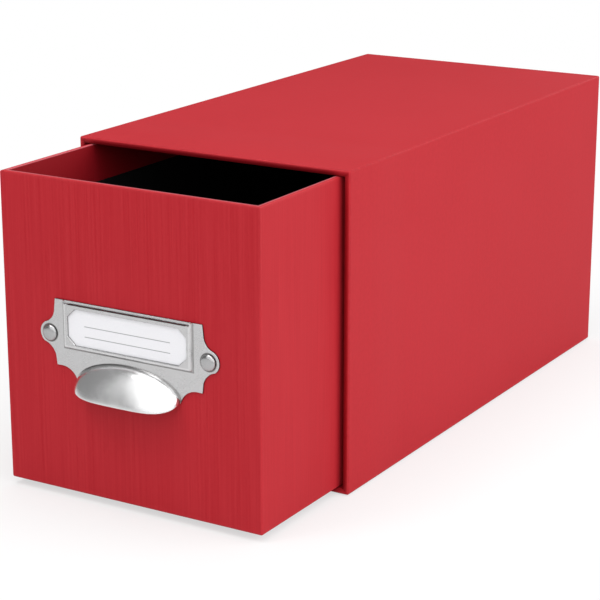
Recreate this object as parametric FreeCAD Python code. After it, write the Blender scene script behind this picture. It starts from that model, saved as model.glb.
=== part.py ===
"""A drawer box for CD cases: a paper-covered board sleeve, open at the front, and a drawer that slides in it.

The drawer's front carries a stamped metal label pull, held by two rivets that are clinched over washers
inside the drawer. A card slides down into the pull's raised frame from above.

Frame: millimetres, X to the right seen from the front, the front faces -Y, +Z up. The origin is the centre
of the sleeve's underside. The drawer is modelled partly pulled out, as it stands in use.
"""

import FreeCAD, Part
import math
import os

V = FreeCAD.Vector

# Sheet goods.
board = 2.5  # grey board of both boxes
paper = 0.25  # covering and lining papers

# What the drawer holds, and how it fits.
case_width = 142.0  # a CD case standing across the drawer
case_clearance = 0.7  # on each side of a case
drawer_height = 159.2
drawer_length = 301.5

# How the drawer fits in the sleeve.
side_clearance = 2.6  # on each side of the drawer
slide_clearance = 0.1  # under the drawer
top_clearance = 0.45
back_clearance = 1.0  # behind the drawer when its front is flush with the sleeve's rim
drawer_open = 72.0  # how far the drawer stands out as modelled

# Folding of the papers.
sleeve_turn_in = 15.0  # red paper inside the sleeve's front rim
drawer_turn_in = 20.0  # red paper inside the drawer's rim
turn_under = 15.0  # paper folded onto the drawer's base and the sleeve's back
sheet_margin = 1.5  # the pasted sheets stop this far short of the edges
sheet_step = 0.6  # where a pasted sheet steps off the folded paper
arris = 1.0  # rounding of the covered edges
board_arris = 0.5  # flats that the boards' outer edges are crushed to under the paper

# Label pull. Heights are measured from the line through the two rivets.
metal = 0.8
pull_height = 85.0  # of the rivets, above the ground
rivet_spacing = 92.4
ear_radius = 6.0
plate_top = 17.8
plate_half_width = 42.9
shoulder_drop = 5.3  # straight run of the plate's side below its top corner
wing_half_width = 42.6
wing_height = 15.9  # of the wing tips below the rivets
wing_tip = 1.9  # width of a wing's blunt tip
neck_rise = 5.0  # straight run of the plate's side above a wing tip
side_lean = 0.6  # how far the plate's side leans out over that straight run
shoulder_sag = 1.5  # depth of the hollow between shoulder and ear
neck_sag = 1.2  # depth of the hollow between ear and wing
scallop_sag = 2.2  # depth of the scallop between wing and cup
ear_top_angle = 62  # degrees on the ear's circle where the upper hollow meets it
ear_foot_angle = -52  # and the lower one

frame_half_width = 37.8
frame_foot = 6.5  # of the frame's lower edge below the rivets
frame_rise = 1.4  # of the frame's face above the plate's face
frame_draft = 0.6  # how far the pressed sides lean in
frame_side = 1.2  # of the frame's side walls, at the plate
slit_drop = 1.6  # of the slit below the plate's top
window_half_width = 34.6
window_foot = 4.0  # of the window's lower edge below the rivets
window_head = 14.3  # of its upper edge above them
window_corner_x = 4.6
window_corner_z = 4.2

cup_half_width = 30.2
cup_rise = 13.1  # of the cup's arch above its ends
cup_drop = 22.6  # of its ends below the rivets
cup_dip = 5.1  # of the lip's middle below its ends
cup_depth = 12.0  # of the lip in front of the drawer
cup_flatness = 4.0  # power that flattens the middle of the lip's plan, 2 is an ellipse
cup_fullness = 0.4  # power that fills its corners, 0.5 is an ellipse
cup_turn = 70.0  # degrees that a section turns through from the plate, 90 would stand upright at the lip
cup_wall = 0.9
cup_slices = 11  # from the middle to an end
cup_crowding = 1.35  # how much closer the slices lie towards the ends
cup_end = 85.0  # degrees from the middle to the last slice

card_thickness = 0.4
card_clearance = 0.1  # before and behind the card
card_side_clearance = 0.6
card_top_gap = 0.5  # of the card's top below the slit

rivet_head_diameter = 8.2
rivet_head_height = 1.7
rivet_shank_diameter = 3.2
rivet_hole_clearance = 0.1  # on the radius
rivet_tail_diameter = 6.0
rivet_tail_height = 1.3
dome_steps = 3  # turned steps of a head's or tail's crown
washer_diameter = 10.0
washer_thickness = 0.8

# Worked out from the sizes above.
wall = paper + board + paper
inner_width = case_width + 2 * case_clearance
drawer_width = inner_width + 2 * wall
cavity_width = drawer_width + 2 * side_clearance
sleeve_width = cavity_width + 2 * wall
cavity_floor = paper + wall
drawer_foot = cavity_floor + slide_clearance
drawer_rim = drawer_foot + drawer_height
cavity_ceiling = drawer_rim + top_clearance
sleeve_height = cavity_ceiling + wall
cavity_length = drawer_length + back_clearance
back_wall = paper + board + 2 * paper
sleeve_length = cavity_length + back_wall
sleeve_front = -sleeve_length / 2
sleeve_back = sleeve_length / 2
cavity_back = sleeve_front + cavity_length
drawer_front = sleeve_front - drawer_open
drawer_back = drawer_front + drawer_length


def block(x0, x1, y0, y1, z0, z1):
    """A box between two corners."""
    return Part.makeBox(x1 - x0, y1 - y0, z1 - z0, V(x0, y0, z0))


def rounded(solid):
    """The solid with all its edges rounded, as paper rounds them."""
    return solid.makeFillet(arris, solid.Edges)


def crushed(solid):
    """The solid with flats along all its edges, as a board's edges have under the paper."""
    return solid.makeChamfer(board_arris, solid.Edges)


def face_of(points):
    """A flat face inside a closed line of points."""
    return Part.Face(Part.makePolygon(points + points[:1]))


def jogged_sheet(width, length, ring):
    """A pasted sheet that lies over a folded ring of paper and steps down onto the board inside it.

    It lies on Z = 0 with its outer face down, centred on the origin. The ring's top is at Z = paper.
    """
    half_x = width / 2 - sheet_margin
    half_y = length / 2 - sheet_margin
    inner_x = width / 2 - ring
    inner_y = length / 2 - ring
    border = block(-half_x, half_x, -half_y, half_y, 0, paper)
    hollow = block(
        sheet_step - inner_x, inner_x - sheet_step, sheet_step - inner_y, inner_y - sheet_step, 0, paper
    )
    middle = block(-inner_x, inner_x, -inner_y, inner_y, paper, 2 * paper)
    return border.cut(hollow).fuse(middle).removeSplitter()


def sleeve_parts():
    """The sleeve's boards and papers."""
    half = sleeve_width / 2
    cover_back = sleeve_back - paper
    outer = rounded(block(-half, half, sleeve_front, cover_back, paper, sleeve_height))
    core_block = block(
        paper - half,
        half - paper,
        sleeve_front + paper,
        cover_back - paper,
        2 * paper,
        sleeve_height - paper,
    )
    core = crushed(core_block)

    clear_x = cavity_width / 2
    board_x = clear_x + paper
    floor = cavity_floor - paper
    ceiling = cavity_ceiling + paper
    back_face = cavity_back + paper
    hollow = block(-board_x, board_x, sleeve_front - 1, back_face, floor, ceiling)
    clear = block(-clear_x, clear_x, sleeve_front - 1, cavity_back, cavity_floor, cavity_ceiling)
    y0 = sleeve_front - 1
    y1 = sleeve_back + 1

    boards = {
        "sleeve_bottom_board": block(-half, half, y0, y1, 0, floor),
        "sleeve_top_board": block(-half, half, y0, y1, ceiling, sleeve_height),
        "sleeve_left_board": block(-half, -board_x, y0, y1, floor, ceiling),
        "sleeve_right_board": block(board_x, half, y0, y1, floor, ceiling),
        "sleeve_back_board": block(-board_x, board_x, back_face, y1, floor, ceiling),
    }
    parts = {name: core.common(region) for name, region in boards.items()}

    window = block(
        turn_under - half,
        half - turn_under,
        cover_back - 2 * paper,
        y1,
        paper + turn_under,
        sleeve_height - turn_under,
    )
    fold_end = sleeve_front + sleeve_turn_in
    fold = hollow.cut(clear).common(block(-half, half, sleeve_front, fold_end, 0, sleeve_height))
    cover = outer.cut(core).cut(hollow).cut(window)
    parts["sleeve_cover_paper"] = cover.fuse(fold).removeSplitter()

    lining_zone = block(-half, half, fold_end, y1, 0, sleeve_height)
    parts["sleeve_lining_paper"] = hollow.cut(clear).common(lining_zone)

    base = block(
        sheet_margin - half,
        half - sheet_margin,
        sleeve_front + sheet_margin,
        cover_back - sheet_margin,
        0,
        paper,
    )
    parts["sleeve_base_sheet"] = base

    height = sleeve_height - paper
    sheet = jogged_sheet(sleeve_width, height, turn_under)
    sheet.rotate(V(0, 0, 0), V(1, 0, 0), 90)
    sheet.translate(V(0, sleeve_back, paper + height / 2))
    parts["sleeve_back_sheet"] = sheet
    return parts


def rivet_holes(y0, y1, radius):
    """The two rivets' holes as one pair of rods between two depths."""
    rods = [
        Part.makeCylinder(radius, y1 - y0, V(x, y0, pull_height), V(0, 1, 0))
        for x in (-rivet_spacing / 2, rivet_spacing / 2)
    ]
    return Part.makeCompound(rods)


def drawer_parts():
    """The drawer's boards and papers, with the holes for the rivets through its front."""
    half = drawer_width / 2
    cover_foot = drawer_foot + paper
    outer = rounded(block(-half, half, drawer_front, drawer_back, cover_foot, drawer_rim))
    core_block = block(
        paper - half,
        half - paper,
        drawer_front + paper,
        drawer_back - paper,
        cover_foot + paper,
        drawer_rim - paper,
    )
    core = crushed(core_block)

    clear_x = inner_width / 2
    board_x = clear_x + paper
    clear_front = drawer_front + wall
    clear_back = drawer_back - wall
    board_front = clear_front - paper
    board_back = clear_back + paper
    floor = cover_foot + paper + board
    top = drawer_rim + 1
    hollow = block(-board_x, board_x, board_front, board_back, floor, top)
    clear = block(-clear_x, clear_x, clear_front, clear_back, floor + paper, top)
    y0 = drawer_front - 1
    y1 = drawer_back + 1
    holes = rivet_holes(y0, clear_front + 1, rivet_shank_diameter / 2 + rivet_hole_clearance)

    boards = {
        "drawer_bottom_board": block(-half, half, y0, y1, 0, floor),
        "drawer_front_board": block(-half, half, y0, board_front, floor, top),
        "drawer_back_board": block(-half, half, board_back, y1, floor, top),
        "drawer_left_board": block(-half, -board_x, board_front, board_back, floor, top),
        "drawer_right_board": block(board_x, half, board_front, board_back, floor, top),
    }
    parts = {name: core.common(region) for name, region in boards.items()}
    parts["drawer_front_board"] = parts["drawer_front_board"].cut(holes)

    window = block(
        turn_under - half,
        half - turn_under,
        drawer_front + turn_under,
        drawer_back - turn_under,
        drawer_foot,
        cover_foot + 2 * paper,
    )
    fold_foot = drawer_rim - drawer_turn_in
    fold = hollow.cut(clear).common(block(-half, half, y0, y1, fold_foot, drawer_rim))
    cover = outer.cut(core).cut(hollow).cut(window)
    parts["drawer_cover_paper"] = cover.fuse(fold).removeSplitter().cut(holes)

    lining = hollow.cut(clear).common(block(-half, half, y0, y1, 0, fold_foot))
    parts["drawer_lining_paper"] = lining.cut(holes)

    sheet = jogged_sheet(drawer_width, drawer_length, turn_under)
    sheet.translate(V(0, (drawer_front + drawer_back) / 2, drawer_foot))
    parts["drawer_base_sheet"] = sheet
    return parts


def mirrored(shape):
    """The shape and its mirror image across the middle."""
    return shape.mirror(V(0, 0, 0), V(1, 0, 0))


def arc(a, b, c):
    """An arc from a through b to c."""
    return Part.Arc(a, b, c).toShape()


def plate_outline():
    """The plate's closed outline, with its ears, wings and scallops, in the plane Y = 0."""
    rivet_x = rivet_spacing / 2
    cup_corner = V(cup_half_width, 0, -cup_drop)
    corner = V(plate_half_width, 0, plate_top)
    shoulder = V(plate_half_width + side_lean, 0, plate_top - shoulder_drop)

    def on_ear(degrees):
        angle = math.radians(degrees)
        return V(rivet_x + ear_radius * math.cos(angle), 0, ear_radius * math.sin(angle))

    ear_top = on_ear(ear_top_angle)
    ear_tip = on_ear((ear_top_angle + ear_foot_angle) / 2)
    ear_foot = on_ear(ear_foot_angle)
    neck = V(wing_half_width + side_lean, 0, neck_rise - wing_height)
    wing = V(wing_half_width, 0, -wing_height)
    tip = V(wing_half_width - wing_tip, 0, -wing_height)

    def hollowed(a, b, sag):
        """A shallow arc from a to b that bites into the plate."""
        run = b - a
        side = V(run.z, 0, -run.x).normalize()
        return arc(a, (a + b) * 0.5 + side * sag, b)

    right = [
        Part.makeLine(V(0, 0, plate_top), corner),
        Part.makeLine(corner, shoulder),
        hollowed(shoulder, ear_top, shoulder_sag),
        arc(ear_top, ear_tip, ear_foot),
        hollowed(ear_foot, neck, neck_sag),
        Part.makeLine(neck, wing),
        Part.makeLine(wing, tip),
        hollowed(tip, cup_corner, scallop_sag),
        Part.makeLine(cup_corner, V(0, 0, -cup_drop)),
    ]
    left = [mirrored(edge) for edge in right]
    return Part.Wire(Part.__sortEdges__(right + left))


def cup_point(degrees, turn, inset):
    """A point of the cup's skin: degrees along its width, turn from the plate (0) to the lip (1)."""
    angle = math.radians(degrees)
    across = math.sin(angle)
    plan = (1 - abs(across) ** cup_flatness) ** cup_fullness
    lip = -cup_drop - cup_dip * plan
    arch = -cup_drop + (cup_rise - inset) * math.cos(angle)
    whole = math.radians(cup_turn)
    bend = turn * whole
    depth = (cup_depth - inset) * plan * math.sin(bend) / math.sin(whole)
    height = arch + (lip - arch) * (1 - math.cos(bend)) / (1 - math.cos(whole))
    return V((cup_half_width - inset) * across, -depth, height)


def cup_section(degrees, inset, back, skirt):
    """A closed slice of the cup, from its skin to the depth called back, reaching down by the skirt."""
    turns = 5
    skin = [cup_point(degrees, step / turns, inset) for step in range(turns + 1)]
    curve = Part.BSplineCurve()
    curve.interpolate(skin)
    top = skin[0]
    lip = skin[-1]
    low = lip.z - skirt
    corners = [lip, V(lip.x, lip.y, low), V(lip.x, back, low), V(top.x, back, top.z), top]
    edges = [curve.toShape()]
    for a, b in zip(corners, corners[1:]):
        if (a - b).Length > 1e-6:
            edges.append(Part.makeLine(a, b))
    return Part.Wire(edges)


def cup_solid(inset, back, skirt):
    """The cup's full shape, inset from its outer skin, lofted through slices that crowd at the ends."""
    sections = []
    for slice_number in range(-cup_slices, cup_slices + 1):
        share = 1 - (1 - abs(slice_number) / cup_slices) ** cup_crowding
        degrees = math.copysign(cup_end * share, slice_number)
        sections.append(cup_section(degrees, inset, back, skirt))
    return Part.makeLoft(sections, True, True)


def label_pull():
    """The stamped plate with its card frame and cup, standing on the plane Y = 0 and facing -Y."""
    plate = Part.Face(plate_outline()).extrude(V(0, -metal, 0))

    pan_top = plate_top
    foot_ring = [
        V(-frame_half_width, -metal, pan_top),
        V(frame_half_width, -metal, pan_top),
        V(frame_half_width, -metal, -frame_foot),
        V(-frame_half_width, -metal, -frame_foot),
    ]
    face_x = frame_half_width - frame_draft
    face_y = -metal - frame_rise
    face_z = frame_draft - frame_foot
    face_ring = [
        V(-face_x, face_y, pan_top),
        V(face_x, face_y, pan_top),
        V(face_x, face_y, face_z),
        V(-face_x, face_y, face_z),
    ]
    rings = [Part.makePolygon(ring + ring[:1]) for ring in (foot_ring, face_ring)]
    pan = Part.makeLoft(rings, True, True)

    pocket_x = frame_half_width - frame_side
    pocket_z = frame_side - frame_foot
    slit = plate_top - slit_drop
    pocket = block(-pocket_x, pocket_x, -frame_rise, 1, pocket_z, slit)
    lowered = block(-pocket_x, pocket_x, face_y - 1, -metal, slit, pan_top + 1)

    x = window_half_width
    cx = window_half_width - window_corner_x
    z0 = -window_foot
    z1 = window_head
    window_points = [
        V(-cx, 0, z1),
        V(cx, 0, z1),
        V(x, 0, z1 - window_corner_z),
        V(x, 0, z0 + window_corner_z),
        V(cx, 0, z0),
        V(-cx, 0, z0),
        V(-x, 0, z0 + window_corner_z),
        V(-x, 0, z1 - window_corner_z),
    ]
    window = face_of(window_points).extrude(V(0, face_y - 1, 0))

    shape = plate.fuse(pan).cut(pocket).cut(lowered).cut(window)
    shape = shape.fuse(cup_solid(0, 0, 0)).cut(cup_solid(cup_wall, 1, 3 * cup_wall))
    shape.translate(V(0, drawer_front, pull_height))
    bore = rivet_shank_diameter / 2 + rivet_hole_clearance
    holes = rivet_holes(drawer_front - metal - 1, drawer_front + 1, bore)
    return shape.cut(holes).removeSplitter()


def crown(radius, height, start, outward):
    """The edges of a shallow dome's profile, from its rim at depth start to its crown on the axis X = 0."""
    sphere = (radius**2 + height**2) / (2 * height)
    reach = math.asin(radius / sphere)
    points = []
    for step in range(dome_steps + 1):
        angle = reach * (1 - step / dome_steps)
        rise = height - sphere * (1 - math.cos(angle))
        points.append(V(sphere * math.sin(angle), start + outward * rise, 0))
    return [Part.makeLine(a, b) for a, b in zip(points, points[1:])]


def rivet(x):
    """A rivet with its head on the plate, its shank through the front and its tail on the washer."""
    head_y = drawer_front - metal
    tail_y = drawer_front + wall + washer_thickness
    head = rivet_head_diameter / 2
    shank = rivet_shank_diameter / 2
    tail = rivet_tail_diameter / 2
    profile = [
        Part.makeLine(V(head, head_y, 0), V(shank, head_y, 0)),
        Part.makeLine(V(shank, head_y, 0), V(shank, tail_y, 0)),
        Part.makeLine(V(shank, tail_y, 0), V(tail, tail_y, 0)),
        Part.makeLine(V(0, tail_y + rivet_tail_height, 0), V(0, head_y - rivet_head_height, 0)),
    ]
    profile += crown(head, rivet_head_height, head_y, -1)
    profile += crown(tail, rivet_tail_height, tail_y, 1)
    section = Part.Face(Part.Wire(Part.__sortEdges__(profile)))
    solid = section.revolve(V(0, 0, 0), V(0, 1, 0), 360)
    solid.translate(V(x, 0, pull_height))
    return solid


def washer(x):
    """The washer under a rivet's tail, on the drawer's lining."""
    start = V(x, drawer_front + wall, pull_height)
    disc = Part.makeCylinder(washer_diameter / 2, washer_thickness, start, V(0, 1, 0))
    bore = rivet_shank_diameter / 2 + rivet_hole_clearance
    return disc.cut(Part.makeCylinder(bore, washer_thickness, start, V(0, 1, 0)))


def label_card():
    """The card in the frame: it stands on the frame's pressed foot and passes in front of the plate's top."""
    half = frame_half_width - frame_side - card_side_clearance
    front = drawer_front - metal - card_clearance - card_thickness
    foot = pull_height + frame_side - frame_foot + card_clearance
    top = pull_height + plate_top - slit_drop - card_top_gap
    return block(-half, half, front, front + card_thickness, foot, top)


def main():
    parts = {}
    parts.update(sleeve_parts())
    parts.update(drawer_parts())
    parts["label_pull"] = label_pull()
    for side, x in (("left", -rivet_spacing / 2), ("right", rivet_spacing / 2)):
        parts["rivet_" + side] = rivet(x)
        parts["rivet_washer_" + side] = washer(x)
    parts["label_card"] = label_card()

    os.makedirs("parts", exist_ok=True)
    for name, shape in parts.items():
        if not shape.isValid() or len(shape.Solids) != 1:
            raise ValueError(f"{name} is not one valid solid")
        shape.Solids[0].exportStep(f"parts/{name}.step")


main()
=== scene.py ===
"""The looks of the drawer box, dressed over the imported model.

The boards, papers and card keep their modelled shapes and get procedural finishes. The stamped label pull
is made again as one sheet with softened edges and a smooth cup, and the rivets and washers are turned in
Geometry Nodes. The sizes named below and the places in the finishes are in millimetres. Meshes, lamps and
the camera are in metres, and MM goes from the one to the other.
"""

import math

import bmesh
import bpy
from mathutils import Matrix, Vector


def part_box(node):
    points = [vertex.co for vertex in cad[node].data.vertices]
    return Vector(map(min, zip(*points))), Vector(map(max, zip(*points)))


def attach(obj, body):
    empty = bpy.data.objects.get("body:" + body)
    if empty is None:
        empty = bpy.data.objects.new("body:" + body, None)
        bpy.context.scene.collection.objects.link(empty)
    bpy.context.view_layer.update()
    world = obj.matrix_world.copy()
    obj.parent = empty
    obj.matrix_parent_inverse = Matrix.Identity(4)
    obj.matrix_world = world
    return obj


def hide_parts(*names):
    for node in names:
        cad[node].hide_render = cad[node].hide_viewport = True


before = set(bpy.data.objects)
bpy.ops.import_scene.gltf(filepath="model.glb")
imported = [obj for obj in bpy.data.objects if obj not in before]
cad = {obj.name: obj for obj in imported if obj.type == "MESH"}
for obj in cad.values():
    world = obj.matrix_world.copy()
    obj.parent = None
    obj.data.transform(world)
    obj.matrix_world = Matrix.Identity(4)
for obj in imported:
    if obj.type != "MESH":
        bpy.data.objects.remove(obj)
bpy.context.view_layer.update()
MM = 0.001

# The label pull, as it is stamped. Heights are measured from the line through the two rivets.
METAL = 0.8
RIVET_SPACING = 92.4
EAR_RADIUS = 6.0
PLATE_TOP = 17.8
PLATE_HALF_WIDTH = 42.9
SHOULDER_DROP = 5.3
WING_HALF_WIDTH = 42.6
WING_HEIGHT = 15.9
WING_TIP = 1.9
NECK_RISE = 5.0
SIDE_LEAN = 0.6
SHOULDER_SAG = 1.5
NECK_SAG = 1.2
SCALLOP_SAG = 2.2
EAR_TOP_ANGLE = 62
EAR_FOOT_ANGLE = -52

FRAME_HALF_WIDTH = 37.8
FRAME_FOOT = 6.5
FRAME_RISE = 1.4
FRAME_SIDE = 1.2  # width of the pressed step around the frame
FRAME_CORNER = 1.8
STEP_ROWS = 12
SLIT_DROP = 1.6
WINDOW_HALF_WIDTH = 34.6
WINDOW_FOOT = 4.0
WINDOW_HEAD = 14.3
WINDOW_CORNER_X = 4.6
WINDOW_CORNER_Z = 4.2

CUP_HALF_WIDTH = 30.2
CUP_RISE = 13.1
CUP_DROP = 22.6
CUP_DIP = 5.1
CUP_DEPTH = 12.0
CUP_FLATNESS = 4.0  # how straight the cup runs across its middle; 2 is round
CUP_FULLNESS = 0.4  # how steeply it ends at its sides; 0.5 is round
CUP_TURN = math.radians(70)  # from the plate to the lip
CUP_WALL = 0.9
CUP_FILLET = 0.35  # where the cup leaves the plate
LIP_EDGE = 0.38  # rounding of the lip, on each side

SHEET_EDGE = 0.22  # rounding of the plate's outline
CUT_EDGE = 0.12  # rounding of the plate's top and of the slit
WINDOW_EDGE = 0.4  # rounding of the window
SHARP_ANGLE = math.radians(32)  # edges that turn by more than this stay crisp

RIVET_HEAD_RADIUS = 4.1
RIVET_HEAD_HEIGHT = 1.7
RIVET_SHANK_RADIUS = 1.6
RIVET_TAIL_RADIUS = 3.0
RIVET_TAIL_HEIGHT = 1.3
WASHER_RADIUS = 5.0
WASHER_THICKNESS = 0.8
WASHER_PLAY = 0.1
DOME_SQUARENESS = 0.7  # 1 is round
RIVET_SIDES = 48

BOARD_WALL = 3.0  # board and papers together

rivet_low, rivet_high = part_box("rivet_left")
RIVET_FRONT, RIVET_LENGTH = rivet_low.y / MM, (rivet_high.y - rivet_low.y) / MM
WASHER_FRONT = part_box("rivet_washer_left")[0].y / MM
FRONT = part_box("label_pull")[1].y / MM  # the drawer's front, which the plate lies on
PULL_HEIGHT = (rivet_low.z + rivet_high.z) / 2 / MM  # the line through the two rivets


class Value:
    """A socket of a node tree. An expression on values adds its Math nodes."""

    def __init__(self, tree, socket):
        self.tree = tree
        self.socket = socket

    def math(self, operation, *others):
        return self.tree.math(operation, self, *others)

    def __add__(self, other):
        return self.math("ADD", other)

    __radd__ = __add__

    def __mul__(self, other):
        return self.math("MULTIPLY", other)

    __rmul__ = __mul__

    def __sub__(self, other):
        return self.math("SUBTRACT", other)

    def __rsub__(self, other):
        return self.tree.math("SUBTRACT", other, self)

    def __truediv__(self, other):
        return self.math("DIVIDE", other)

    def __pow__(self, other):
        return self.math("POWER", other)

    def __abs__(self):
        return self.math("ABSOLUTE")


def smaller(a, b):
    return a.math("MINIMUM", b)


def larger(a, b):
    return a.math("MAXIMUM", b)


class Tree:
    """Builds a node tree: one method adds any node from its type, its settings and its inputs."""

    def __init__(self, tree):
        self.tree = tree

    def node(self, kind, settings=None, inputs=None, output=0):
        made = self.tree.nodes.new(kind)
        for name, value in (settings or {}).items():
            setattr(made, name, value)
        for name, value in (inputs or {}).items():
            self.feed(made.inputs[name], value)
        return Value(self, made.outputs[output]) if len(made.outputs) else None

    def math(self, operation, *values):
        return self.node("ShaderNodeMath", {"operation": operation}, dict(enumerate(values)))

    def feed(self, socket, value):
        if isinstance(value, Value):
            self.tree.links.new(value.socket, socket)
        else:
            socket.default_value = value

    def outputs(self, value, *names):
        """Other outputs of the node that a value comes from."""
        return [Value(self, value.socket.node.outputs[name]) for name in names]


class Finish(Tree):
    """A material, with the patterns that this object's finishes share. Places are in millimetres."""

    def __init__(self, name):
        self.material = bpy.data.materials.new(name)
        self.material.use_nodes = True
        self.material.node_tree.nodes.clear()
        super().__init__(self.material.node_tree)
        where = self.node("ShaderNodeTexCoord", output="Object")
        self.place = self.node("ShaderNodeVectorMath", {"operation": "SCALE"}, {0: where, "Scale": 1 / MM})
        axes = self.node("ShaderNodeSeparateXYZ", inputs={0: self.place})
        self.x, self.y, self.z = self.outputs(axes, "X", "Y", "Z")

    def stretched(self, x, y, z):
        """The place with each axis scaled, which stretches a pattern along the small ones."""
        return self.node(
            "ShaderNodeVectorMath", {"operation": "MULTIPLY"}, {0: self.place, 1: (x, y, z)}
        )

    def noise(self, vector, scale, detail=2.0, roughness=0.5):
        return self.node(
            "ShaderNodeTexNoise",
            {"noise_dimensions": "3D"},
            {"Vector": vector, "Scale": scale, "Detail": detail, "Roughness": roughness},
            "Fac",
        )

    def ramp(self, value, low, high, from_low=0.0, from_high=1.0, smooth=True):
        """The value brought from one range to another and held there."""
        kind = "SMOOTHSTEP" if smooth else "LINEAR"
        return self.node(
            "ShaderNodeMapRange",
            {"interpolation_type": kind, "clamp": True},
            {"Value": value, "From Min": from_low, "From Max": from_high, "To Min": low, "To Max": high},
        )

    def rising(self, value, start, full):
        """None up to the start, and all from full on."""
        return self.ramp(value, 0.0, 1.0, start, full)

    def falling(self, value, full, end):
        """All up to full, and none from the end on."""
        return self.ramp(value, 1.0, 0.0, full, end)

    def mix(self, share, a, b):
        """A colour between a and b."""
        mixed = self.node("ShaderNodeMix", {"data_type": "RGBA", "blend_type": "MIX"})
        node = mixed.socket.node
        self.feed(node.inputs["Factor"], share)
        self.feed(node.inputs[6], a)
        self.feed(node.inputs[7], b)
        return Value(self, node.outputs[2])

    def bump(self, height, depth, normal=None):
        """A normal from a height between 0 and 1 that stands for a depth in millimetres."""
        inputs = {"Height": height, "Distance": depth * MM, "Strength": 1.0}
        if normal is not None:
            inputs["Normal"] = normal
        return self.node("ShaderNodeBump", inputs=inputs)

    def shade(self, **inputs):
        """Ends the material in a Principled shader with these inputs."""
        names = {name.replace("_", " "): value for name, value in inputs.items()}
        shader = self.node("ShaderNodeBsdfPrincipled", inputs=names)
        self.node("ShaderNodeOutputMaterial", inputs={"Surface": shader})
        return self.material


def red_paper(name, box, ribs, mouth, end, crest, wear_and_sheen=0.0, fold_shading=0.0, rim_highlighting=0.0):
    """Matt red covering paper with fine upright ribs over its pulp, wrapped round an open box.

    The box is open at one end of the mouth's axis, and there the paper is crowned over the board's rim. The
    crest is the crown's highest line, as a share of the wall from its outside. Wear is how much lighter the
    folds are, partly real wear and partly painted highlight, and the rim's folds always get some of this
    painted highlight. Fold shading is painted shade that darkens the folds away from the rim, and rim
    highlighting is a painted highlight on the rim's inner edge. Paper that is turned inside is painted
    deeper, as painted shade.
    """
    low, high = box
    f = Finish(name)
    middle = [(low[i] + high[i]) / 2 / MM for i in range(3)]
    half = [(high[i] - low[i]) / 2 / MM for i in range(3)]
    gaps = [abs(half[i] - abs(axis - middle[i])) for i, axis in enumerate((f.x, f.y, f.z))]
    near = smaller(gaps[0], gaps[1])
    far = larger(gaps[0], gaps[1])
    edge_gap = larger(near, smaller(far, gaps[2]))  # to the nearest fold, where two faces meet

    from_mouth = half[mouth] - ((f.x, f.y, f.z)[mouth] - middle[mouth]) * end
    into_wall = smaller(*[gap for axis, gap in enumerate(gaps) if axis != mouth]) / BOARD_WALL
    crown = larger(1 - ((into_wall - crest) / (1 - crest)) ** 2, 0) * f.falling(from_mouth, 20, 60)
    on_rim = f.falling(from_mouth, 0.2, 0.6)

    upright = f.noise(f.stretched(1.0, 1.0, 0.012), 1.1, 3.0, 0.6)
    pulp = f.noise(f.place, 0.45, 4.0, 0.6)
    cloud = f.noise(f.place, 0.02, 2.0, 0.5)
    weave = upright * ribs + pulp * (1 - ribs)

    deep, light = (0.3825, 0.0045, 0.012, 1), (0.4625, 0.0205, 0.029, 1)
    faded = (0.475, 0.021, 0.032, 1)
    # lighter fold colour: partly wear, partly painted highlight
    worn_and_highlit = (0.58, 0.043, 0.053, 1)
    # painted shade for the folds
    fold_shade = (0.30, 0.006, 0.012, 1)
    # painted highlight for the rim's inner edge
    rim_highlight = (0.66, 0.16, 0.19, 1)
    # painted shade for the paper turned inside
    inside_shade = (0.26, 0.002, 0.007, 1)

    # noise that breaks up the lighter and darker folds and the rim's painted highlight
    edge_break = f.noise(f.place, 0.35, 4.0, 0.65)
    fold = f.falling(edge_gap + (edge_break - 0.5) * 1.4, 0.1, 1.6)
    body = f.mix(f.ramp(weave, 0.0, 1.0, 0.21, 0.79, smooth=False), deep, light)
    body = f.mix(f.ramp(cloud, 0.0, 0.12, 0.35, 0.65), body, faded)
    # lighter folds: wear on every fold, and a painted highlight on the rim
    colour = f.mix(fold * (on_rim * 0.25 + wear_and_sheen), body, worn_and_highlit)
    # painted shade along the folds, away from the rim
    if fold_shading:
        fold_shaded = f.falling(edge_gap, 0.3, 0.9) * f.rising(edge_break, 0.35, 0.6) * (1 - on_rim)
        colour = f.mix(fold_shaded * fold_shading, colour, fold_shade)
    inner = f.rising(into_wall, crest, 0.95)
    # a painted highlight on the rim's inner edge
    if rim_highlighting:
        inner = inner * (1 - on_rim)
        rim_highlit = on_rim * f.ramp(into_wall + (edge_break - 0.5) * 0.4, 0.0, rim_highlighting, crest, 0.85)
        colour = f.mix(rim_highlit, colour, rim_highlight)
    # painted shade on the paper turned inside
    colour = f.mix(inner * 0.9, colour, inside_shade)
    rough = f.ramp(weave, 0.62, 0.72, 0.4, 0.85, smooth=False) - fold * 0.12
    return f.shade(
        Base_Color=colour,
        Roughness=rough,
        Specular_IOR_Level=0.22,
        Normal=f.bump(weave, 0.07, f.bump(crown, 1.0)),
    )


def black_paper(name):
    """Matt black lining paper with a faint fibre."""
    f = Finish(name)
    fibre = f.noise(f.stretched(1.0, 1.0, 0.4), 2.2, 4.0, 0.6)
    cloud = f.noise(f.place, 0.05, 2.0)
    colour = f.mix(f.rising(fibre, 0.3, 0.7), (0.0045, 0.0045, 0.005, 1), (0.010, 0.010, 0.011, 1))
    return f.shade(
        Base_Color=colour,
        Roughness=f.ramp(cloud, 0.72, 0.88, 0.3, 0.7),
        Specular_IOR_Level=0.25,
        Normal=f.bump(fibre, 0.03),
    )


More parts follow.
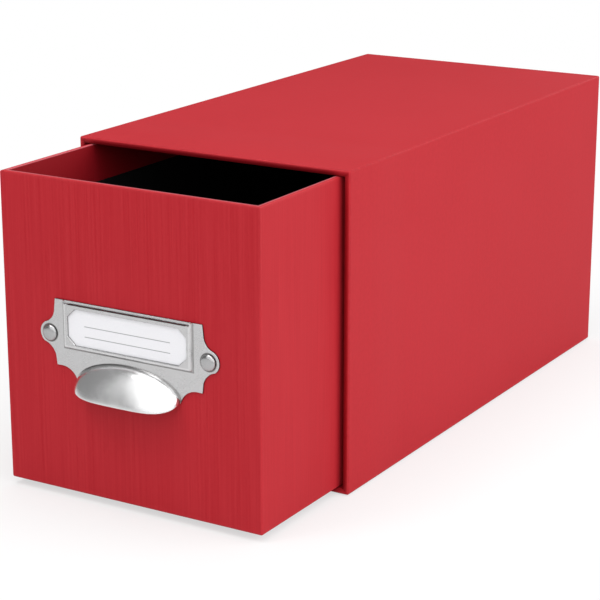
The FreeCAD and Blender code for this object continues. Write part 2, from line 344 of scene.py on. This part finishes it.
def grey_board(name):
    """Bare grey board: pressed waste fibre with darker flecks."""
    f = Finish(name)
    fibre = f.noise(f.stretched(1.0, 0.5, 1.0), 1.4, 5.0, 0.65)
    fleck = f.rising(f.noise(f.place, 0.9, 3.0, 0.7), 0.62, 0.72)
    grey = f.mix(f.rising(fibre, 0.3, 0.7), (0.31, 0.29, 0.26, 1), (0.41, 0.39, 0.36, 1))
    return f.shade(
        Base_Color=f.mix(fleck * 0.5, grey, (0.16, 0.14, 0.12, 1)),
        Roughness=f.ramp(fibre, 0.8, 0.95),
        Normal=f.bump(fibre, 0.05),
    )


def nickel_plate(name):
    """Satin nickel, polished on the cup, with painted shade in its corners, creases and recesses, painted
    shadow in the slit and on the cut edge, and a painted highlight on the step's upper edge.
    """
    f = Finish(name)
    forward = FRONT - METAL - f.y
    height = f.z - PULL_HEIGHT
    across = abs(f.x)
    slit_height = PLATE_TOP - SLIT_DROP
    pocket = FRAME_HALF_WIDTH - FRAME_SIDE

    # The cup, and the crease around its arch.
    below = f.falling(height, -FRAME_FOOT - 1.2, -FRAME_FOOT - 0.6)
    cup = f.rising(forward, 0.1, 1.4) * below
    arch = (f.x / CUP_HALF_WIDTH) ** 2 + ((height + CUP_DROP) / CUP_RISE) ** 2
    crease = f.falling(forward, 0.4, 2.2) * f.falling(arch, 1.0, 1.06) * below

    # Painted shade beside the frame's step, round the rivets and in the pocket, and a painted highlight on
    # the step's upper edge.
    off_frame = larger(across - FRAME_HALF_WIDTH, (height + FRAME_FOOT) * -1)
    by_step = f.rising(off_frame, -0.9, -0.1) * f.falling(off_frame, 0.1, 0.45)
    # painted highlight along the step's upper edge
    brow_highlight = f.falling(abs(off_frame + 1.6), 0.1, 0.6)
    from_rivet = across - RIVET_SPACING / 2
    rivet = (from_rivet * from_rivet + height * height).math("SQRT") - RIVET_HEAD_RADIUS
    by_rivet = f.falling(abs(rivet), 0.35, 0.9)
    behind_face = f.falling(forward, FRAME_RISE - 0.35, FRAME_RISE - 0.1)
    in_frame = f.falling(across, pocket - 0.6, pocket - 0.3)
    in_frame = in_frame * f.falling(height, slit_height - 0.8, slit_height - 0.5)
    above_foot = f.rising(height, -FRAME_FOOT + 1.2, -FRAME_FOOT + 1.6)
    painted_shade = larger(larger(by_step * 0.6, by_rivet * 0.9), behind_face * in_frame * above_foot * 0.75)
    # painted shade in the crease round the cup's arch
    painted_shade = larger(painted_shade, crease * 0.7)

    # Painted shadow: the dark line of the slit, and the plate's cut edge against the paper.
    slit = f.falling(abs(height - slit_height), 0.02, 0.14)
    slit = slit * f.falling(across, WINDOW_HALF_WIDTH - 0.8, WINDOW_HALF_WIDTH + 0.2)
    edge_shadow = f.falling(forward, -0.2, -0.05)
    dark = larger(slit, edge_shadow)

    brushed = f.noise(f.stretched(0.06, 1.0, 1.0), 9.0, 3.0, 0.6)
    smear = f.noise(f.place, 0.12, 3.0, 0.55)
    # the polish colour serves the polished cup and a painted highlight; the other two are painted shade and
    # painted shadow
    polish_and_highlight, shaded_tone, shadow_tone = (0.96, 0.96, 0.965, 1), (0.13, 0.125, 0.12, 1), (0.03, 0.028, 0.028, 1)
    rough = f.ramp(brushed, 0.26, 0.30, 0.3, 0.7) + f.ramp(smear, -0.02, 0.02, 0.3, 0.7)
    rough = rough * (1 - cup) + f.ramp(smear, 0.20, 0.26, 0.3, 0.7) * cup
    tone = f.mix(f.rising(smear, 0.3, 0.7), (0.615, 0.615, 0.62, 1), (0.645, 0.645, 0.65, 1))
    # the cup is polished; the step's upper edge gets a painted highlight
    tone = f.mix(larger(cup, brow_highlight * 0.4), tone, polish_and_highlight)
    # the base colour carries painted shade and painted shadow over the nickel's tone
    return f.shade(
        Base_Color=f.mix(dark * 0.95, f.mix(painted_shade, tone, shaded_tone), shadow_tone),
        Metallic=1.0,
        Roughness=rough,
        Normal=f.bump(brushed * (1 - cup * 0.8), 0.001),
    )


def rivet_metal(name):
    """Bright nickel with faint turning marks, and painted shade at the head's foot."""
    f = Finish(name)
    across = abs(f.x) - RIVET_SPACING / 2
    up = f.z - PULL_HEIGHT
    ring = (across * across + up * up).math("SQRT")
    marks = f.node(
        "ShaderNodeTexNoise", {"noise_dimensions": "1D"}, {"W": ring, "Scale": 6.0, "Detail": 3.0}, "Fac"
    )
    smear = f.noise(f.place, 0.5, 3.0)
    lift = FRONT - METAL - f.y
    # painted shade at the foot of the rivet's head, where it meets the plate, and on the shank
    foot = f.falling(lift, 0.15, 0.55) * f.rising(lift, -0.6, -0.3)
    tone = f.mix(smear, (0.46, 0.46, 0.465, 1), (0.53, 0.53, 0.535, 1))
    return f.shade(
        Base_Color=f.mix(foot, tone, (0.04, 0.038, 0.038, 1)),
        Metallic=1.0,
        Roughness=f.ramp(marks, 0.17, 0.25, 0.3, 0.7),
        Normal=f.bump(marks, 0.004),
    )


def white_card(name):
    """Smooth white card with two plain ruled lines to write on."""
    f = Finish(name)
    fibre = f.noise(f.place, 1.6, 5.0, 0.6)
    body = f.mix(f.rising(fibre, 0.35, 0.65), (0.80, 0.80, 0.83, 1), (0.83, 0.83, 0.855, 1))
    height = f.z - PULL_HEIGHT
    upper, lower = (f.falling(abs(height - line), 0.12, 0.26) for line in (6.3, 1.1))
    within = f.falling(abs(f.x), 24.9, 25.1)
    ink = larger(upper, lower) * within
    return f.shade(
        Base_Color=f.mix(ink * 0.75, body, (0.11, 0.115, 0.125, 1)),
        Roughness=f.ramp(fibre, 0.45, 0.6, 0.3, 0.7),
        Normal=f.bump(fibre, 0.01),
    )


def arc_points(a, b, c, count):
    """Points on the arc from a through b to c, both ends included. Points are (x, z)."""
    ax, az = a
    bx, bz = b
    cx, cz = c
    d = 2 * (ax * (bz - cz) + bx * (cz - az) + cx * (az - bz))
    a2, b2, c2 = ax**2 + az**2, bx**2 + bz**2, cx**2 + cz**2
    ox = (a2 * (bz - cz) + b2 * (cz - az) + c2 * (az - bz)) / d
    oz = (a2 * (cx - bx) + b2 * (ax - cx) + c2 * (bx - ax)) / d
    radius = math.hypot(ax - ox, az - oz)
    start, middle, end = (math.atan2(z - oz, x - ox) for x, z in (a, b, c))
    turn = (end - start) % math.tau
    if (middle - start) % math.tau > turn:
        turn -= math.tau
    angles = [start + turn * i / count for i in range(count + 1)]
    return [(ox + radius * math.cos(t), oz + radius * math.sin(t)) for t in angles]


def hollowed(a, b, sag, count):
    """A shallow arc from a to b that bites into the plate."""
    run = (b[0] - a[0], b[1] - a[1])
    length = math.hypot(*run)
    middle = ((a[0] + b[0]) / 2 + run[1] / length * sag, (a[1] + b[1]) / 2 - run[0] / length * sag)
    return arc_points(a, middle, b, count)


def plate_side():
    """The right side of the plate's outline, from its top corner to the end of the cup."""
    rivet_x = RIVET_SPACING / 2

    def on_ear(degrees):
        angle = math.radians(degrees)
        return (rivet_x + EAR_RADIUS * math.cos(angle), EAR_RADIUS * math.sin(angle))

    corner = (PLATE_HALF_WIDTH, PLATE_TOP)
    shoulder = (PLATE_HALF_WIDTH + SIDE_LEAN, PLATE_TOP - SHOULDER_DROP)
    neck = (WING_HALF_WIDTH + SIDE_LEAN, NECK_RISE - WING_HEIGHT)
    wing = (WING_HALF_WIDTH, -WING_HEIGHT)
    tip = (WING_HALF_WIDTH - WING_TIP, -WING_HEIGHT)
    ear_top, ear_foot = on_ear(EAR_TOP_ANGLE), on_ear(EAR_FOOT_ANGLE)
    ear_tip = on_ear((EAR_TOP_ANGLE + EAR_FOOT_ANGLE) / 2)
    side = [corner]
    side += hollowed(shoulder, ear_top, SHOULDER_SAG, 10)
    side += arc_points(ear_top, ear_tip, ear_foot, 22)[1:]
    side += hollowed(ear_foot, neck, NECK_SAG, 8)[1:]
    side += [wing]
    side += hollowed(tip, (CUP_HALF_WIDTH, -CUP_DROP), SCALLOP_SAG, 14)
    return side


def cup_plan(across):
    """How far the cup stands out at a share of its half width, as a share of its depth in the middle."""
    return (1 - min(abs(across), 1.0) ** CUP_FLATNESS) ** CUP_FULLNESS


def cup_heights(angle, inset):
    """The heights of the lip and of the arch above it."""
    lip = -CUP_DROP - CUP_DIP * cup_plan(math.sin(angle))
    return lip, -CUP_DROP + (CUP_RISE - inset) * max(math.cos(angle), 0.0)


def cup_point(angle, bend, inset):
    """A point of the cup's skin, from an angle along its width and the bend away from the plate."""
    across = math.sin(angle)
    lip, arch = cup_heights(angle, inset)
    depth = (CUP_DEPTH - inset) * cup_plan(across) * math.sin(bend) / math.sin(CUP_TURN)
    height = arch + (lip - arch) * (1 - math.cos(bend)) / (1 - math.cos(CUP_TURN))
    return Vector(((CUP_HALF_WIDTH - inset) * across, -depth, height))


def bend_above_lip(angle, inset, edge):
    """The bend at which the skin is still an edge's height above the lip."""
    lip, arch = cup_heights(angle, inset)
    if arch - lip < 1e-6:
        return CUP_TURN
    return math.acos(1 - (1 - edge / (arch - lip)) * (1 - math.cos(CUP_TURN)))


def cup_angles(count):
    """Angles from the cup's middle to where its skin sinks into the plate, spaced evenly along the lip."""
    end = math.asin((1 - (METAL / CUP_DEPTH) ** (1 / CUP_FULLNESS)) ** (1 / CUP_FLATNESS))
    parts = 2000
    fine = [end * (1 - (1 - i / parts) ** 2) for i in range(parts + 1)]
    lip = [cup_point(a, CUP_TURN, 0) for a in fine]
    reach = [0.0]
    for a, b in zip(lip, lip[1:]):
        reach.append(reach[-1] + (b - a).length)
    angles = []
    at = 0
    for i in range(count + 1):
        goal = reach[-1] * i / count
        while at < len(reach) - 1 and reach[at] < goal - 1e-9:
            at += 1
        angles.append(fine[at])
    return angles


def lip_round(base, lip, other_lip, edge, turns):
    """Half of the rounded lip, from the skin's last point towards the other skin."""
    inward = (other_lip - lip).normalized()
    rows = []
    for turn in turns:
        height = lip.z + edge * (1 - math.sin(turn))
        rows.append(Vector((base.x, base.y, height)) + inward * edge * (1 - math.cos(turn)))
    return rows


def outer_rows(angle, steps, round_steps):
    """The front of one slice of the cup: the fillet on the plate, the skin, and the lip's outer half."""
    lip, arch = cup_heights(angle, 0)
    deep = CUP_DEPTH * cup_plan(math.sin(angle))
    room = max(deep - METAL, 0.0)
    fillet = min(CUP_FILLET, 0.12 * (arch - lip), 0.3 * room)
    edge = min(LIP_EDGE, 0.25 * (arch - lip), 0.3 * room)

    def bend_at_depth(depth):
        return math.asin(min(depth / deep, 1.0) * math.sin(CUP_TURN))

    crease = cup_point(angle, bend_at_depth(METAL), 0)
    start_bend = bend_at_depth(METAL + fillet)
    start = cup_point(angle, start_bend, 0)
    low_bend, step = 0.03, 1e-3
    along = cup_point(angle + step, low_bend, 0) - cup_point(angle - step, low_bend, 0)
    outward = Vector((-along.z, 0, along.x)).normalized()
    foot = crease + outward * fillet
    rows = []
    for i in range(round_steps + 1):
        t = i / round_steps
        rows.append(foot * (1 - t) ** 2 + crease * 2 * t * (1 - t) + start * t**2)
    end_bend = max(bend_above_lip(angle, 0, edge), start_bend)
    for i in range(1, steps + 1):
        rows.append(cup_point(angle, start_bend + (end_bend - start_bend) * i / steps, 0))
    lips = [cup_point(angle, CUP_TURN, inset) for inset in (0, CUP_WALL)]
    turns = [math.pi / 2 * i / round_steps for i in range(1, round_steps + 1)]
    return rows + lip_round(rows[-1], *lips, edge, turns)


def inner_rows(angle, steps, round_steps):
    """The back of one slice of the cup, from the rounded lip's inner half up to the plate's back."""
    lip, arch = cup_heights(angle, CUP_WALL)
    edge = min(LIP_EDGE, 0.25 * (arch - lip))
    end_bend = bend_above_lip(angle, CUP_WALL, edge)
    lips = [cup_point(angle, CUP_TURN, inset) for inset in (CUP_WALL, 0)]
    turns = [math.pi / 2 * (1 - i / round_steps) for i in range(round_steps)]
    rows = lip_round(cup_point(angle, end_bend, CUP_WALL), *lips, edge, turns)
    rows += [cup_point(angle, end_bend * (1 - i / steps), CUP_WALL) for i in range(steps + 1)]
    return rows


def step_rows():
    """Lines round the frame, from its step's foot to its face, each from the middle to the top."""
    rows = []
    centre_x, centre_z = FRAME_HALF_WIDTH - FRAME_CORNER, FRAME_CORNER - FRAME_FOOT
    for i in range(STEP_ROWS + 1):
        share = i / STEP_ROWS
        inset = FRAME_SIDE * share
        depth = -METAL - FRAME_RISE * share * share * (3 - 2 * share)
        row = [(0, depth, inset - FRAME_FOOT)]
        for k in range(7):
            turn = math.pi / 2 * k / 6
            x = centre_x + (FRAME_CORNER - inset) * math.sin(turn)
            row.append((x, depth, centre_z - (FRAME_CORNER - inset) * math.cos(turn)))
        row += [(FRAME_HALF_WIDTH - inset, depth, z) for z in (PLATE_TOP - SLIT_DROP, PLATE_TOP)]
        rows.append(row)
    return rows


class Sheet:
    """Gathers faces in millimetres and the edges to soften, on both sides of the middle."""

    def __init__(self):
        self.mesh = bmesh.new()
        self.found = {}
        self.soft = {}

    def point(self, p):
        key = tuple(round(c, 4) + 0.0 for c in p)  # adding nothing turns -0.0 into 0.0
        if key not in self.found:
            self.found[key] = self.mesh.verts.new(key)
        return self.found[key]

    def face(self, *points):
        """A face on the right and its mirror image on the left."""
        for side in (1, -1):
            corners = []
            for x, y, z in points:
                corner = self.point((x * side, y, z))
                if corner not in corners:
                    corners.append(corner)
            if len(corners) > 2 and not self.mesh.faces.get(corners):
                self.mesh.faces.new(corners[::side])

    def soften(self, width, *points):
        """Marks a line of edges, and its mirror image, to be rounded by that many millimetres."""
        for side in (1, -1):
            line = [self.point((x * side, y, z)) for x, y, z in points]
            for a, b in zip(line, line[1:]):
                self.soft[frozenset((a, b))] = width

    def finish(self, name, widest):
        weights = self.mesh.edges.layers.float.new("bevel_weight_edge")
        bmesh.ops.recalc_face_normals(self.mesh, faces=self.mesh.faces[:])
        for edge in self.mesh.edges:
            width = self.soft.get(frozenset(edge.verts), 0.0)
            edge[weights] = width / widest
            edge.smooth = width > 0 or edge.calc_face_angle(0.0) < SHARP_ANGLE
        for vertex in self.mesh.verts:
            x, y, z = vertex.co
            vertex.co = Vector((x, FRONT + y, PULL_HEIGHT + z)) * MM
        data = bpy.data.meshes.new(name)
        self.mesh.to_mesh(data)
        self.mesh.free()
        data.shade_smooth()
        piece = bpy.data.objects.new(name, data)
        bpy.context.scene.collection.objects.link(piece)
        return piece


def stamped_pull():
    """The plate with its card frame and cup, folded from one sheet of metal."""
    sheet = Sheet()
    back, plate, behind, face = 0.0, -METAL, -FRAME_RISE, -METAL - FRAME_RISE
    top, slit = PLATE_TOP, PLATE_TOP - SLIT_DROP
    pocket_x, pocket_z = FRAME_HALF_WIDTH - FRAME_SIDE, FRAME_SIDE - FRAME_FOOT
    step = step_rows()
    wx, cx = WINDOW_HALF_WIDTH, WINDOW_HALF_WIDTH - WINDOW_CORNER_X
    wz0, wz1, cz = -WINDOW_FOOT, WINDOW_HEAD, WINDOW_CORNER_Z
    window = [(0, wz1), (cx, wz1), (wx, wz1 - cz), (wx, wz0 + cz), (cx, wz0), (0, wz0)]
    side = plate_side()

    angles = cup_angles(40)
    rows = 18
    outer = [outer_rows(a, rows, 4) for a in angles]
    inner = [inner_rows(a * (math.pi / 2) / angles[-1], rows, 4) for a in angles]
    end = outer[-1][0]
    arch = [column[0] for column in outer]
    arch_back = [column[-1] for column in inner]

    def at(depth, points):
        return [(x, depth, z) for x, z in points]

    front_side = at(plate, side[:-1]) + [tuple(end)]
    back_side = at(back, side)
    sheet.face(*step[0], *front_side, *(tuple(p) for p in arch[-2::-1]))
    for a, b in zip(step, step[1:]):
        for i in range(len(a) - 1):
            sheet.face(a[i], a[i + 1], b[i + 1], b[i])
    sheet.face(*step[-1][:-1], (0, face, slit), *at(face, window))
    sheet.face(
        (pocket_x, face, slit),
        (pocket_x, face, top),
        (pocket_x, plate, top),
        (pocket_x, plate, slit),
        (pocket_x, behind, slit),
    )
    sheet.face((0, plate, slit), (pocket_x, plate, slit), (pocket_x, plate, top), (0, plate, top))
    sheet.face((0, plate, slit), (0, back, slit), (pocket_x, back, slit), (pocket_x, plate, slit))
    sheet.face((0, face, slit), (pocket_x, face, slit), (pocket_x, behind, slit), (0, behind, slit))
    pocket = [(0, pocket_z), (pocket_x, pocket_z), (pocket_x, slit), (0, slit)]
    sheet.face(*at(behind, pocket + window))
    sheet.face(
        (pocket_x, behind, pocket_z),
        (pocket_x, back, pocket_z),
        (pocket_x, back, slit),
        (pocket_x, plate, slit),
        (pocket_x, behind, slit),
    )
    sheet.face(
        (0, behind, pocket_z), (pocket_x, behind, pocket_z), (pocket_x, back, pocket_z), (0, back, pocket_z)
    )
    for (xa, za), (xb, zb) in zip(window, window[1:]):
        sheet.face((xa, face, za), (xb, face, zb), (xb, behind, zb), (xa, behind, za))
    sheet.face(
        (0, back, top),
        (PLATE_HALF_WIDTH, back, top),
        (PLATE_HALF_WIDTH, plate, top),
        *(row[-1] for row in step),
        (pocket_x, plate, top),
        (0, plate, top),
    )
    for fa, fb, ba, bb in zip(front_side, front_side[1:], back_side, back_side[1:]):
        sheet.face(fa, fb, bb, ba)
    hollow = [(0, back, pocket_z), (pocket_x, back, pocket_z), (pocket_x, back, slit), (0, back, slit)]
    sheet.face(*hollow, (0, back, top), *back_side, *(tuple(p) for p in arch_back[::-1]))
    sheet.face(tuple(end), back_side[-1], tuple(arch_back[-1]))
    for a, b in zip(outer, outer[1:]):
        for i in range(len(a) - 1):
            sheet.face(a[i], b[i], b[i + 1], a[i + 1])
    for a, b, c, d in zip(outer, outer[1:], inner, inner[1:]):
        sheet.face(a[-1], b[-1], d[0], c[0])
    for a, b in zip(inner, inner[1:]):
        for i in range(len(a) - 1):
            sheet.face(a[i], b[i], b[i + 1], a[i + 1])

    sheet.soften(SHEET_EDGE, *front_side[:-3])
    for share, a, b in zip((0.7, 0.35), front_side[-4:], front_side[-3:]):  # fading out at the cup
        sheet.soften(SHEET_EDGE * share, a, b)
    sheet.soften(CUT_EDGE, (0, plate, top), (pocket_x, plate, top))
    sheet.soften(CUT_EDGE, step[0][-1], front_side[0])
    sheet.soften(CUT_EDGE, (0, face, slit), (pocket_x, face, slit))
    sheet.soften(WINDOW_EDGE, *at(face, window))

    piece = sheet.finish("stamped_pull", WINDOW_EDGE)
    bevel = piece.modifiers.new("softened edges", "BEVEL")
    bevel.limit_method = "WEIGHT"
    bevel.width = WINDOW_EDGE * MM
    bevel.segments = 4
    bevel.use_clamp_overlap = False
    bevel.miter_outer = "MITER_SHARP"
    flat = piece.modifiers.new("flat faces stay flat", "WEIGHTED_NORMAL")
    flat.keep_sharp = True
    flat.weight = 100
    return piece


class Build(Tree):
    """A Geometry Nodes tree with named inputs, applied to an empty mesh."""

    def __init__(self, name, sizes):
        group = bpy.data.node_groups.new(name, "GeometryNodeTree")
        super().__init__(group)
        self.sockets = {}
        for size, value in sizes.items():
            socket = group.interface.new_socket(size, in_out="INPUT", socket_type="NodeSocketFloat")
            self.sockets[size] = (socket.identifier, value)
        group.interface.new_socket("Mesh", in_out="OUTPUT", socket_type="NodeSocketGeometry")
        self.given = group.nodes.new("NodeGroupInput")

    def size(self, name):
        return Value(self, self.given.outputs[name])

    def make(self, name, geometry, material):
        """Realizes the geometry, gives it its material, and leaves a plain mesh."""
        whole = self.node("GeometryNodeRealizeInstances", inputs={0: geometry})
        dressed = self.node(
            "GeometryNodeSetMaterial", inputs={"Geometry": whole, "Material": material}
        )
        self.node("NodeGroupOutput", inputs={"Mesh": dressed})
        piece = bpy.data.objects.new(name, bpy.data.meshes.new(name))
        bpy.context.scene.collection.objects.link(piece)
        modifier = piece.modifiers.new(name, "NODES")
        modifier.node_group = self.tree
        for identifier, value in self.sockets.values():
            modifier[identifier] = value
        graph = bpy.context.evaluated_depsgraph_get()
        mesh = bpy.data.meshes.new_from_object(piece.evaluated_get(graph))
        piece.modifiers.clear()
        piece.data = mesh
        merged = bmesh.new()
        merged.from_mesh(mesh)
        bmesh.ops.remove_doubles(merged, verts=merged.verts[:], dist=1e-6)
        bmesh.ops.recalc_face_normals(merged, faces=merged.faces[:])
        merged.to_mesh(mesh)
        merged.free()
        return piece


def turned(build, rounds, steps, profile):
    """A shape turned about the Y axis: profile gives radius and depth from a share between 0 and 1."""
    grid = build.node(
        "GeometryNodeMeshGrid",
        inputs={"Size X": 1.0, "Size Y": 1.0, "Vertices X": rounds + 1, "Vertices Y": steps + 1},
    )
    where = build.node("GeometryNodeInputPosition")
    axes = build.node("ShaderNodeSeparateXYZ", inputs={0: where})
    u, v = build.outputs(axes, "X", "Y")
    angle = (u + 0.5) * math.tau
    radius, depth = profile(v + 0.5)
    spot = build.node(
        "ShaderNodeCombineXYZ",
        inputs={"X": radius * angle.math("COSINE"), "Y": depth, "Z": radius * angle.math("SINE")},
    )
    return build.node("GeometryNodeSetPosition", inputs={"Geometry": grid, "Position": spot})


def both_sides(build, shape):
    """The shape at each of the two rivets' places."""
    spacing = build.size("Spacing")
    start = build.node("ShaderNodeCombineXYZ", inputs={"X": spacing * -0.5})
    step = build.node("ShaderNodeCombineXYZ", inputs={"X": spacing})
    pair = build.node(
        "GeometryNodeMeshLine", {"mode": "OFFSET"}, {"Count": 2, "Start Location": start, "Offset": step}
    )
    placed = build.node("GeometryNodeInstanceOnPoints", inputs={"Points": pair, "Instance": shape})
    lift = build.node(
        "ShaderNodeCombineXYZ", inputs={"Y": build.size("Depth"), "Z": build.size("Height")}
    )
    return build.node(
        "GeometryNodeTranslateInstances",
        inputs={"Instances": placed, "Translation": lift, "Local Space": False},
    )


def domed(share, radius, height):
    """Profile of a dome from its crown to its rim, flattened at the crown and steep at the rim."""
    turn = share * (math.pi / 2)
    return radius * (turn.math("SINE") ** DOME_SQUARENESS), height * (turn.math("COSINE") ** DOME_SQUARENESS)


def rivet_pair(material):
    """The two rivets: a domed head outside, the shank, and a domed tail on the washer."""
    build = Build(
        "rivet pair",
        {
            "Spacing": RIVET_SPACING * MM,
            "Height": PULL_HEIGHT * MM,
            "Depth": (RIVET_FRONT + RIVET_HEAD_HEIGHT) * MM,
            "Head radius": RIVET_HEAD_RADIUS * MM,
            "Head height": RIVET_HEAD_HEIGHT * MM,
            "Shank radius": RIVET_SHANK_RADIUS * MM,
            "Shank length": (RIVET_LENGTH - RIVET_HEAD_HEIGHT - RIVET_TAIL_HEIGHT) * MM,
            "Tail radius": RIVET_TAIL_RADIUS * MM,
            "Tail height": RIVET_TAIL_HEIGHT * MM,
        },
    )
    head_radius, tail_radius = build.size("Head radius"), build.size("Tail radius")
    shank_radius, length = build.size("Shank radius"), build.size("Shank length")

    def head(share):
        radius, height = domed(share, head_radius, build.size("Head height"))
        return radius, height * -1

    def under(share):
        return head_radius * (1 - share) + shank_radius * share, 0.0

    def shank(share):
        return shank_radius, length * share

    def over(share):
        return shank_radius * (1 - share) + tail_radius * share, length

    def tail(share):
        radius, height = domed(share, tail_radius, build.size("Tail height"))
        return radius, length + height

    joined = build.node("GeometryNodeJoinGeometry")
    for profile, steps in ((head, 20), (under, 1), (shank, 1), (over, 1), (tail, 10)):
        shape = turned(build, RIVET_SIDES, steps, profile)
        build.tree.links.new(shape.socket, joined.socket.node.inputs[0])
    return build.make("rivet_pair", both_sides(build, joined), material)


def washer_pair(material):
    """The two washers under the rivets' tails, with a softened rim."""
    build = Build(
        "washer pair",
        {
            "Spacing": RIVET_SPACING * MM,
            "Height": PULL_HEIGHT * MM,
            "Depth": WASHER_FRONT * MM,
            "Bore radius": (RIVET_SHANK_RADIUS + WASHER_PLAY) * MM,
            "Rim radius": WASHER_RADIUS * MM,
            "Thickness": WASHER_THICKNESS * MM,
        },
    )
    bore, rim, thick = build.size("Bore radius"), build.size("Rim radius"), build.size("Thickness")
    band = (rim - bore) * 0.5

    def ring(share):
        """A flat ring's section, squared from an ellipse."""
        turn = share * math.tau
        across, along = turn.math("COSINE"), turn.math("SINE")
        squared_across = across.math("SIGN") * (abs(across) ** 0.12)
        squared_along = along.math("SIGN") * (abs(along) ** 0.3)
        return (bore + rim) * 0.5 + band * squared_across, (squared_along + 1) * 0.5 * thick

    shape = turned(build, RIVET_SIDES, 48, ring)
    return build.make("washer_pair", both_sides(build, shape), material)


def dress(node, material):
    """Gives a modelled part its finish."""
    part = cad[node]
    part.data.materials.clear()
    part.data.materials.append(material)


def place_piece(piece, body, slot, *stands_for):
    """Sets a new piece on its body, in place of the modelled parts that it stands for."""
    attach(piece, body)
    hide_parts(*stands_for)


def studio():
    """A white floor and soft light, with the left side nearly dark.

    Walls of light stand on the right, in front and in front right, with more overhead and on top, a small key
    lamp at the upper left and a lamp behind.
    """
    reach = 12.0
    ground = bmesh.new()
    corners = ((-reach, -reach, 0), (reach, -reach, 0), (reach, reach, 0), (-reach, reach, 0))
    ground.faces.new([ground.verts.new(corner) for corner in corners])
    data = bpy.data.meshes.new("floor")
    ground.to_mesh(data)
    ground.free()
    floor = bpy.data.objects.new("floor", data)
    floor.location.z = -0.0002  # just under the box, so that the two don't share a plane
    bpy.context.scene.collection.objects.link(floor)
    f = Finish("white floor")
    seen = f.node("ShaderNodeLightPath", output="Is Camera Ray")
    half_width, middle, half_length = 80, -36, 190  # the box's place on the floor
    across = larger(abs(f.x) - half_width, 0)
    along = larger(abs(f.y - middle) - half_length, 0)
    away = (across * across + along * along).math("SQRT")
    white = f.mix(seen, (0.66, 0.66, 0.66, 1), (0.82, 0.82, 0.82, 1))
    matt = f.node("ShaderNodeBsdfDiffuse", inputs={"Color": white})
    glow = f.node("ShaderNodeEmission", inputs={"Color": (1, 1, 1, 1), "Strength": 1.0})
    share = seen * f.ramp(away, 0.6, 1.0, 10, 180)
    lit = f.node("ShaderNodeMixShader", inputs={0: share, 1: matt, 2: glow})
    f.node("ShaderNodeOutputMaterial", inputs={"Surface": lit})
    data.materials.append(f.material)

    world = bpy.data.worlds.new("studio")
    world.use_nodes = True
    world.node_tree.nodes.clear()
    w = Tree(world.node_tree)
    camera_ray = w.node("ShaderNodeLightPath", output="Is Camera Ray")
    shown = w.node("ShaderNodeBackground", inputs={"Color": (1, 1, 1, 1), "Strength": 1.0})
    around = w.node("ShaderNodeBackground", inputs={"Color": (1, 1, 1, 1), "Strength": 0.23})
    both = w.node("ShaderNodeMixShader", inputs={0: camera_ray, 1: around, 2: shown})
    w.node("ShaderNodeOutputWorld", inputs={"Surface": both})
    bpy.context.scene.world = world

    def softbox(name, where, aim, width, height, power):
        """A lamp that can't be seen, of a size in metres and a power in watts."""
        light = bpy.data.lights.new(name, "AREA")
        light.shape = "RECTANGLE"
        light.size, light.size_y = width, height
        light.energy = power
        lamp = bpy.data.objects.new(name, light)
        lamp.location = where
        lamp.rotation_euler = (Vector(aim) - Vector(where)).to_track_quat("-Z", "Y").to_euler()
        lamp.visible_camera = False
        bpy.context.scene.collection.objects.link(lamp)

    box_middle, box_front = (0, 0, 0.08), (0, -0.22, 0.08)
    softbox("right wall", (1.35, 0.35, 0.75), box_middle, 1.5, 1.1, 15.6)
    softbox("overhead", (0.10, -0.35, 1.60), (0, -0.1, 0.1), 1.4, 1.4, 10.5)
    softbox("top lamp", (-0.30, 0.45, 1.50), (0, 0, 0.1), 0.9, 0.8, 4.5)
    softbox("front wall", (-0.05, -1.52, 0.83), box_front, 1.73, 1.73, 9.4)
    softbox("front right wall", (1.06, -0.96, 0.83), box_front, 1.73, 1.73, 10.0)
    softbox("key", (-0.35, -0.75, 1.25), box_front, 0.3, 0.3, 3.0)
    softbox("behind", (0.15, 1.6, 0.5), box_middle, 1.0, 0.7, 4.0)


def photograph_camera():
    """The photograph's viewpoint: from the right and above, with a long lens."""
    turn, tilt = 30.913, 16.427
    lens = bpy.data.cameras.new("camera")
    lens.sensor_width = 36.0
    lens.lens = 117.92
    lens.clip_start, lens.clip_end = 0.05, 50.0
    camera = bpy.data.objects.new("camera", lens)
    camera.location = (0.52919, -0.94927, 0.37159)
    camera.rotation_euler = (math.radians(90 - tilt), 0, math.radians(turn))
    bpy.context.scene.collection.objects.link(camera)
    bpy.context.scene.camera = camera


photograph_camera()
studio()

Y_AXIS, Z_AXIS = 1, 2
sleeve_red = red_paper(
    "red paper, sleeve",
    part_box("sleeve_cover_paper"),
    ribs=0.35,
    mouth=Y_AXIS,
    end=-1,
    crest=0.2,
    fold_shading=0.675,
)
drawer_red = red_paper(
    "red paper, drawer",
    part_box("drawer_cover_paper"),
    ribs=0.85,
    mouth=Z_AXIS,
    end=1,
    crest=0.45,
    wear_and_sheen=0.15,
    rim_highlighting=0.7,
)
lining = black_paper("black lining paper")
board = grey_board("grey board")
nickel = nickel_plate("satin nickel")
bright = rivet_metal("bright nickel")
card = white_card("white card")

for node in cad:
    if node.endswith("_board"):
        dress(node, board)
    elif node.endswith("lining_paper"):
        dress(node, lining)
    elif node.startswith("sleeve"):
        dress(node, sleeve_red)
    elif node.startswith("drawer"):
        dress(node, drawer_red)
dress("label_card", card)

pull = stamped_pull()
pull.data.materials.append(nickel)
place_piece(pull, "drawer", "nickel_plate", "label_pull")
place_piece(rivet_pair(bright), "drawer", "rivet_metal", "rivet_left", "rivet_right")
place_piece(
    washer_pair(bright), "drawer", "rivet_metal", "rivet_washer_left", "rivet_washer_right"
)

bpy.context.scene.view_settings.view_transform = "Standard"
